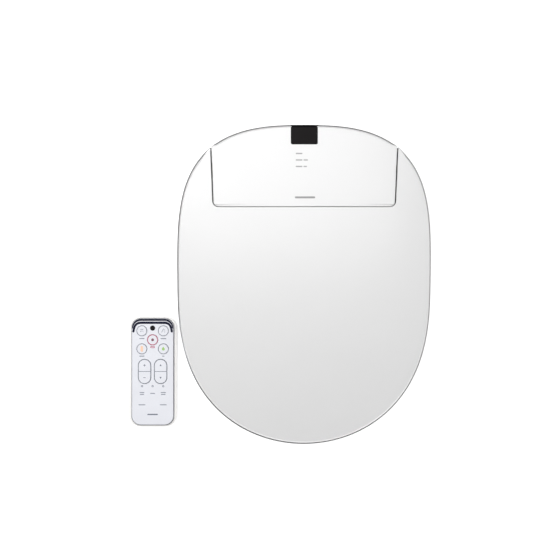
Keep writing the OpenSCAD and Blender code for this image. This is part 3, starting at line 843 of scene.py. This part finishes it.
# Columns and rows of the face, from its middle, and its small labels as (x, y, length), all in millimetres.
COLUMN = 17.2
STOP_LABEL_Y, LAMP_Y, SHORT_LABEL_Y, FOOT_Y, EMITTER_Y = 40.0, -23.2, -35.0, -69, 70.8
LABELS = [(-17.4, 53.8, 8.5), (17.4, 53.8, 9.5), (-17.4, 25.4, 8.5), (17.4, 25.4, 4.0),
          (-COLUMN, -53.4, 11.0), (COLUMN, -53.4, 11.0),
          (-COLUMN, -33.6, 7.5), (0.0, SHORT_LABEL_Y, 8.0), (COLUMN, -33.6, 8.5),
          (-COLUMN, -36.6, 6.5), (COLUMN, -36.6, 7.5)]
LABEL_W = 1.5 * MM

# The dark band's outline: half width, half length and corner radius. DEEP is how far in its strips may lie,
# BAND_FADE_N the points over which they grow to full width, and BAND_TIP_N those of the round tips.
BAND_HW = FACE_W / 2 - 1.6 * MM
BAND_HL = FACE_L / 2 - 1.4 * MM
BAND_R = 14 * MM
DEEP = 10 * MM
BAND_FADE_N, BAND_TIP_N = 30, 3


def circle(cx, cy, r, n=40):
    return arc((cx, cy), r, r, 0, 360, n)[:-1]


def bar(cx, cy, length, width, turn=0.0, n=8):
    """A loop for a bar with round ends, turned by an angle in degrees."""
    r, half = width / 2, (length - width) / 2
    c, s = math.cos(math.radians(turn)), math.sin(math.radians(turn))
    flat = arc((half, 0.0), r, r, -90, 90, n) + arc((-half, 0.0), r, r, 90, 270, n)
    return [(cx + x * c - y * s, cy + x * s + y * c) for x, y in flat]


def drop(cx, cy, r, height):
    """A loop for a drop: round below, drawn to a point above."""
    n, out = 28, []
    for k in range(n):
        a = math.tau * k / n - math.pi / 2
        pull = max(0.0, math.sin(a)) ** 3
        out.append((cx + r * math.cos(a) * (1 - 0.75 * pull), cy + r * math.sin(a) + (height - 2 * r) * pull))
    return out


def ink(name, loops, z, body, slot, holes=()):
    """A thin printed mark: loops raised by the ink's thickness. With holes, each loop has its own."""
    bm = bmesh.new()

    def ring_at(loop, up):
        return [bm.verts.new((x, y, z + up)) for x, y in loop]

    for k, loop in enumerate(loops):
        low, high = ring_at(loop, 0.0), ring_at(loop, INK)
        bridge(bm, low, high)
        if not holes:
            bm.faces.new(high)
            bm.faces.new(low[::-1])
        else:
            low_in, high_in = ring_at(holes[k], 0.0), ring_at(holes[k], INK)
            bridge(bm, high_in, low_in)
            bridge(bm, high, high_in)
            bridge(bm, low_in, low)
    return dress(new_object(name, bm, smooth_angle=30), slot, body)


def at_face(x, y):
    """A place on the remote's face, from its middle, in millimetres."""
    return FACE_MID[0] + x * MM, FACE_MID[1] + y * MM


def key_centre(node):
    """The middle of a key's top."""
    low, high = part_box(node)
    return (low.x + high.x) / 2, (low.y + high.y) / 2, high.z


def build_key_marks():
    """A printed ring near each key's edge, a thin one round it on the face, and a plain sign on it."""
    for node in ("key_1", "key_2", "key_3", "key_4"):
        x, y, z = key_centre(node)
        ink(f"{node}_ring", [circle(x, y, KEY_R - 0.05 * MM)], z, node, "print_grey",
            [circle(x, y, KEY_R - 0.4 * MM)])
        ink(f"{node}_surround", [circle(x, y, KEY_R + 0.8 * MM)], FACE_TOP, "remote", "print_grey",
            [circle(x, y, KEY_R + 0.45 * MM)])
    x, y, z = key_centre("key_stop")
    ink("key_stop_ring", [circle(x, y, KEY_STOP_R - 0.05 * MM)], z, "key_stop", "print_magenta",
        [circle(x, y, KEY_STOP_R - 1.3 * MM)])
    ink("key_stop_dot", [circle(x, y, 2.3 * MM)], z, "key_stop", "print_plum")
    x, y, z = key_centre("key_1")
    ink("key_1_sign", [bar(x, y + 2.2 * MM, 5.2 * MM, 0.9 * MM)]
        + [bar(x + k * 1.9 * MM, y - 0.8 * MM, 2.6 * MM, 0.6 * MM, 90 + 14 * k) for k in (-1, 0, 1)],
        z, "key_1", "print_pale")
    x, y, z = key_centre("key_2")
    ink("key_2_sign", [bar(x - 1.2 * MM, y + 0.4 * MM, 7 * MM, 0.8 * MM, 62)]
        + [bar(x + 1.8 * MM, y - k * 1.9 * MM, 2.6 * MM, 0.6 * MM, -30) for k in (-1, 0, 1)],
        z, "key_2", "print_pale")
    x, y, z = key_centre("key_3")
    ink("key_3_sign", [bar(x, y, 9.6 * MM, 4.2 * MM, 90)], z, "key_3", "print_peach")
    x, y, z = key_centre("key_4")
    ink("key_4_sign", [drop(x, y - 0.4 * MM, 2.4 * MM, 6.4 * MM)], z, "key_4", "print_green")


def arrow(cx, cy, size):
    """A loop for a small chevron-like triangle; a negative size points down."""
    return [(cx - abs(size), cy - size * 0.7), (cx + abs(size), cy - size * 0.7), (cx, cy + size)]


def build_rocker_marks():
    """Outline, dividing line and up and down signs on both rockers."""
    for node in ("rocker_left", "rocker_right"):
        low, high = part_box(node)
        cx, cy = (low.x + high.x) / 2, (low.y + high.y) / 2
        w, h, z = high.x - low.x, high.y - low.y, high.z
        edge, inner = 0.1 * MM, 0.85 * MM
        ink(f"{node}_outline", [bar(cx, cy, h - 2 * edge, w - 2 * edge, 90, 16)], z, node, "print_grey",
            [bar(cx, cy, h - 2 * inner, w - 2 * inner, 90, 16)])
        ink(f"{node}_line", [bar(cx, cy, w - 2 * inner, 0.9 * MM)], z, node, "print_grey")
        if node == "rocker_left":
            stroke = (4 * MM, 0.8 * MM)
            signs = [bar(cx, cy + SIGN_Y, *stroke), bar(cx, cy + SIGN_Y, *stroke, 90),
                     bar(cx, cy - SIGN_Y, *stroke)]
        else:
            signs = [arrow(cx, cy + SIGN_Y, 1.7 * MM), arrow(cx, cy - SIGN_Y, -1.7 * MM)]
        ink(f"{node}_signs", signs, z, node, "print_navy")


def build_face_marks():
    """The dark emitter window, plain dashes where the face has its small labels, and three small rings."""
    lamps = [at_face(x, LAMP_Y) for x in (-COLUMN, 0, COLUMN)]
    stop_label = at_face(0, STOP_LABEL_Y)
    ink("emitter_window", [circle(*at_face(0, EMITTER_Y), 4.2 * MM)], FACE_TOP, "remote", "black_gloss")
    ink("stop_label", [bar(*stop_label, 7.6 * MM, 3.4 * MM)], FACE_TOP, "remote", "print_magenta",
        [bar(*stop_label, 5.6 * MM, 1.2 * MM)])
    ink("face_labels", [bar(*at_face(x, y), length * MM, LABEL_W) for x, y, length in LABELS], FACE_TOP,
        "remote", "print_pale")
    ink("face_lamps", [circle(*lamp, 1.7 * MM, 20) for lamp in lamps], FACE_TOP, "remote", "print_grey",
        [circle(*lamp, 0.8 * MM, 20) for lamp in lamps])
    ink("face_foot_bar", [bar(*at_face(0, FOOT_Y), 17 * MM, 2 * MM)], FACE_TOP, "remote", "print_grey")


def rim_path(inset, reach):
    """Along the face's upper edge, inset: up the left side, over both top corners and down the right."""
    n_side, n_corner, n_top = 12, 18, 30
    hw, hl, r = BAND_HW - inset, BAND_HL - inset, BAND_R - inset
    left = [(-hw, hl - r - reach * (1 - k / n_side)) for k in range(n_side)]
    turn = [math.radians(180 - 90 * k / n_corner) for k in range(n_corner)]
    corner = [(-hw + r + r * math.cos(a), hl - r + r * math.sin(a)) for a in turn]
    half = left + corner
    top = [(-hw + r + (2 * hw - 2 * r) * k / n_top, hl) for k in range(n_top + 1)]
    path = half + top + mirrored(half)[::-1]
    return [(FACE_MID[0] + x, FACE_MID[1] + y) for x, y in path]


def band_strip(name, near, far, reach):
    """A printed arc between two insets, with round tips.

    near and far are (millimetres at the tips, added towards the middle); reach is how far the arc runs down
    both sides.
    """
    base, deep = rim_path(0.0, reach), rim_path(DEEP, reach)
    last = len(base) - 1
    a, b = [], []
    for k in range(last + 1):
        steps = min(k, last - k)
        u = smooth01(steps / BAND_FADE_N)
        close = math.sqrt(max(0.0, 1 - (1 - min(1.0, steps / BAND_TIP_N)) ** 2))
        lo, hi = (near[0] + near[1] * u) * MM, (far[0] + far[1] * u) * MM
        mid, half = (lo + hi) / 2, (hi - lo) / 2 * max(0.02, close)
        a.append(between(base[k], deep[k], (mid - half) / DEEP))
        b.append(between(base[k], deep[k], (mid + half) / DEEP))
    return ink(name, [a + b[::-1]], FACE_TOP, "remote", "navy")


def build_band():
    """Double dark arc round the top of the face: a thin outer line and a thick inner one."""
    band_strip("band_outer", (0.0, 0.0), (0.7, 2.4), 2 * MM)
    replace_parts(band_strip("band_inner", (0.2, 4.0), (3.8, 4.2), 8 * MM), "remote_band")


build_seat()
build_key_marks()
build_rocker_marks()
build_face_marks()
build_band()


# ---------------------------------------------------------------- carried-over nodes

# Edge widths of the nodes that are kept: none on these thin or round ones, fine on small ones, else broad.
SHARP_NODES = {"seat_heater", "hoses", "nozzle_rear_tip", "nozzle_front_tip"}
FINE_NODES = {"control_board", "remote_board", "blower_rotor", "base_screws", "bolt_inserts", "sensor_window",
              "key_1", "key_2", "key_3", "key_4", "key_stop", "rocker_left", "rocker_right", "remote_band"}
FINE_EDGE, BROAD_EDGE = 0.25 * MM, 0.5 * MM


def finish_node(node, slot, width):
    """Gives a carried-over node its material and broken edges."""
    node.data.materials.clear()
    node.data.materials.append(MAT[slot])
    if width:
        weld = node.modifiers.new("weld", "WELD")
        weld.merge_threshold = 0.01 * MM
        bevel = node.modifiers.new("bevel", "BEVEL")
        bevel.width = width
        bevel.segments = 2
        bevel.limit_method = "ANGLE"
        bevel.angle_limit = math.radians(35)
        bevel.harden_normals = True


for entry in frame["record"]["subparts"]:
    name = entry["node"]
    width = 0.0 if name in SHARP_NODES else FINE_EDGE if name in FINE_NODES else BROAD_EDGE
    finish_node(frame["nodes"][name], entry["material_slot"], width)


# ---------------------------------------------------------------- floor, light, camera

FLOOR_HALF = 6.0
FLOOR_Z = -0.5 * MM
FLOOR_GLOW = 0.62
# The sky's brightness: overall, and its greys at the horizon, overhead and where the camera sees it.
SKY_STRENGTH = 0.72
SKY_LOW, SKY_HIGH, SKY_SEEN = 0.06, 1.0, 0.95

# Each light: name, place, point it aims at, size and power.
LIGHTS = [("key", (-0.55, 0.22, 1.37), (-0.18, -0.07, 0.1), (1.1, 1.1), 12.1),
          ("top", (-0.2, -0.5, 2.3), (-0.2, -0.5, 0.0), (1.2, 0.8), 16),
          ("edge", (1.9, -0.1, 0.3), (0.0, -0.15, 0.08), (0.4, 1.0), 20)]

# A long lens straight above: its height, and the width and middle of what it sees at the height of the lid.
CAMERA_HEIGHT = 3.2
VIEW_WIDTH = 0.8832
VIEW_CENTRE = (-0.0378, -0.1914)
VIEW_PLANE_Z = 0.103
SENSOR_WIDTH = 36.0


def build_floor():
    """A pale light table: bright by itself, so that the object's shadow on it stays faint."""
    mat, nodes, links, shader = material("floor")
    tone = ramp(nodes, links, noise(nodes, links, 3.0), grey(0.93), grey(0.95))
    links.new(tone, shader.inputs["Base Color"])
    shader.inputs["Roughness"].default_value = 0.7
    shader.inputs["Emission Color"].default_value = grey(1.0)
    shader.inputs["Emission Strength"].default_value = FLOOR_GLOW
    bm = bmesh.new()
    bm.faces.new([bm.verts.new((x * FLOOR_HALF, y * FLOOR_HALF, FLOOR_Z))
                  for x, y in ((-1, -1), (1, -1), (1, 1), (-1, 1))])
    floor = new_object("floor", bm)
    floor.data.materials.append(mat)
    floor.visible_diffuse = False
    floor.visible_glossy = False


def area_light(name, at, aim, size, power):
    data = bpy.data.lights.new(name, "AREA")
    data.shape = "RECTANGLE"
    data.size, data.size_y = size
    data.energy = power
    lamp = bpy.data.objects.new(name, data)
    lamp.location = at
    lamp.rotation_euler = (Vector(aim) - Vector(at)).to_track_quat("-Z", "Y").to_euler()
    bpy.context.scene.collection.objects.link(lamp)


def build_world():
    """A soft sky, bright overhead and dark at the horizon, so that rounded edges read as lines.

    Where it is seen directly it is pale.
    """
    world = bpy.data.worlds.new("studio")
    world.use_nodes = True
    nodes, links = world.node_tree.nodes, world.node_tree.links
    split = nodes.new("ShaderNodeSeparateXYZ")
    links.new(nodes.new("ShaderNodeTexCoord").outputs["Generated"], split.inputs["Vector"])
    sky = ramp(nodes, links, split.outputs["Z"], grey(SKY_LOW), grey(SKY_HIGH), 0.45, 1.0)
    links.new(sky, nodes["Background"].inputs["Color"])
    seen = nodes.new("ShaderNodeBackground")
    seen.inputs["Color"].default_value = grey(SKY_SEEN)
    either = nodes.new("ShaderNodeMixShader")
    links.new(nodes.new("ShaderNodeLightPath").outputs["Is Camera Ray"], either.inputs[0])
    links.new(nodes["Background"].outputs[0], either.inputs[1])
    links.new(seen.outputs[0], either.inputs[2])
    links.new(either.outputs[0], nodes["World Output"].inputs["Surface"])
    nodes["Background"].inputs["Strength"].default_value = SKY_STRENGTH
    bpy.context.scene.world = world


def build_camera():
    data = bpy.data.cameras.new("camera")
    data.sensor_width = SENSOR_WIDTH
    data.lens = SENSOR_WIDTH * (CAMERA_HEIGHT - VIEW_PLANE_Z) / VIEW_WIDTH
    cam = bpy.data.objects.new("camera", data)
    cam.location = (VIEW_CENTRE[0], VIEW_CENTRE[1], CAMERA_HEIGHT)
    bpy.context.scene.collection.objects.link(cam)
    bpy.context.scene.camera = cam


build_floor()
for light in LIGHTS:
    area_light(*light)
build_world()
build_camera()
bpy.context.scene.view_settings.view_transform = "Standard"
